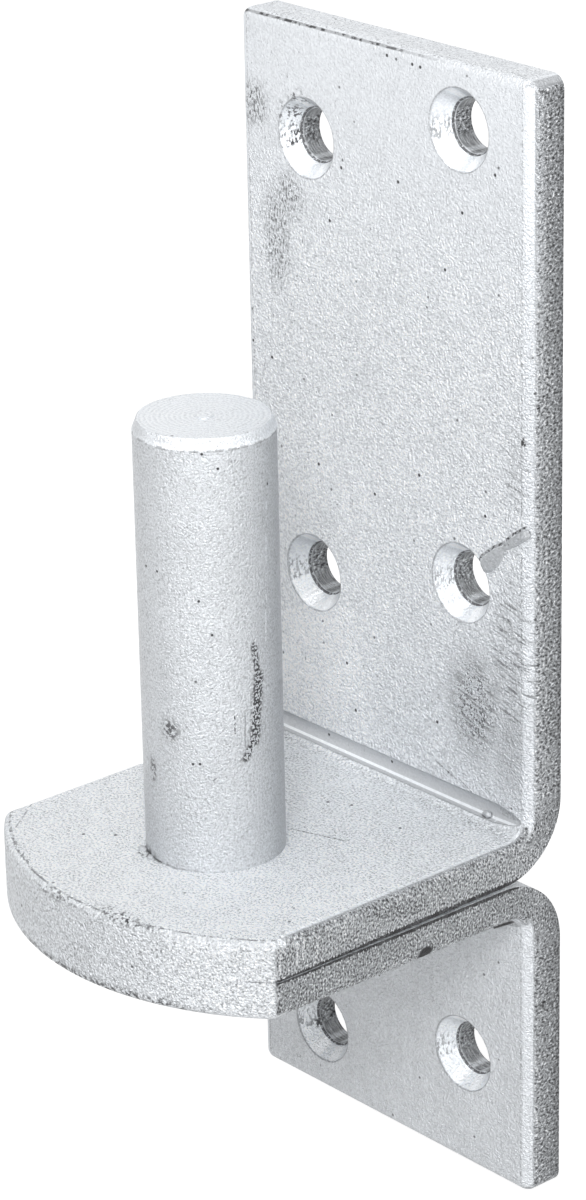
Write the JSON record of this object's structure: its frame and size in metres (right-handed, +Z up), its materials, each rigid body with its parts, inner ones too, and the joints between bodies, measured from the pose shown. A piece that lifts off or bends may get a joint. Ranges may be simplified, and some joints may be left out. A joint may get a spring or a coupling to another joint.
{
  "type": "gate hinge pin",
  "caption": "Upright gate hinge pin on a shelf of folded flat bar, with plates above and below drilled and countersunk for screwing to a post.",
  "frame": {"origin": "on the pin's axis at the shelf's top face, where the gate's eye turns", "axes": "+Z up the pin, +X across the plates, +Y back towards the post"},
  "size_m": [0.06, 0.0661, 0.1687],
  "materials": {
    "plate_zinc": "hot-dip galvanised mild steel plate, pale matt zinc",
    "pin_zinc": "hot-dip galvanised turned steel bar, satin zinc"
  },
  "bodies": {
    "root": {"upper_plate": "plate_zinc", "lower_plate": "plate_zinc", "hinge_pin": "pin_zinc"}
  },
  "joints": []
}
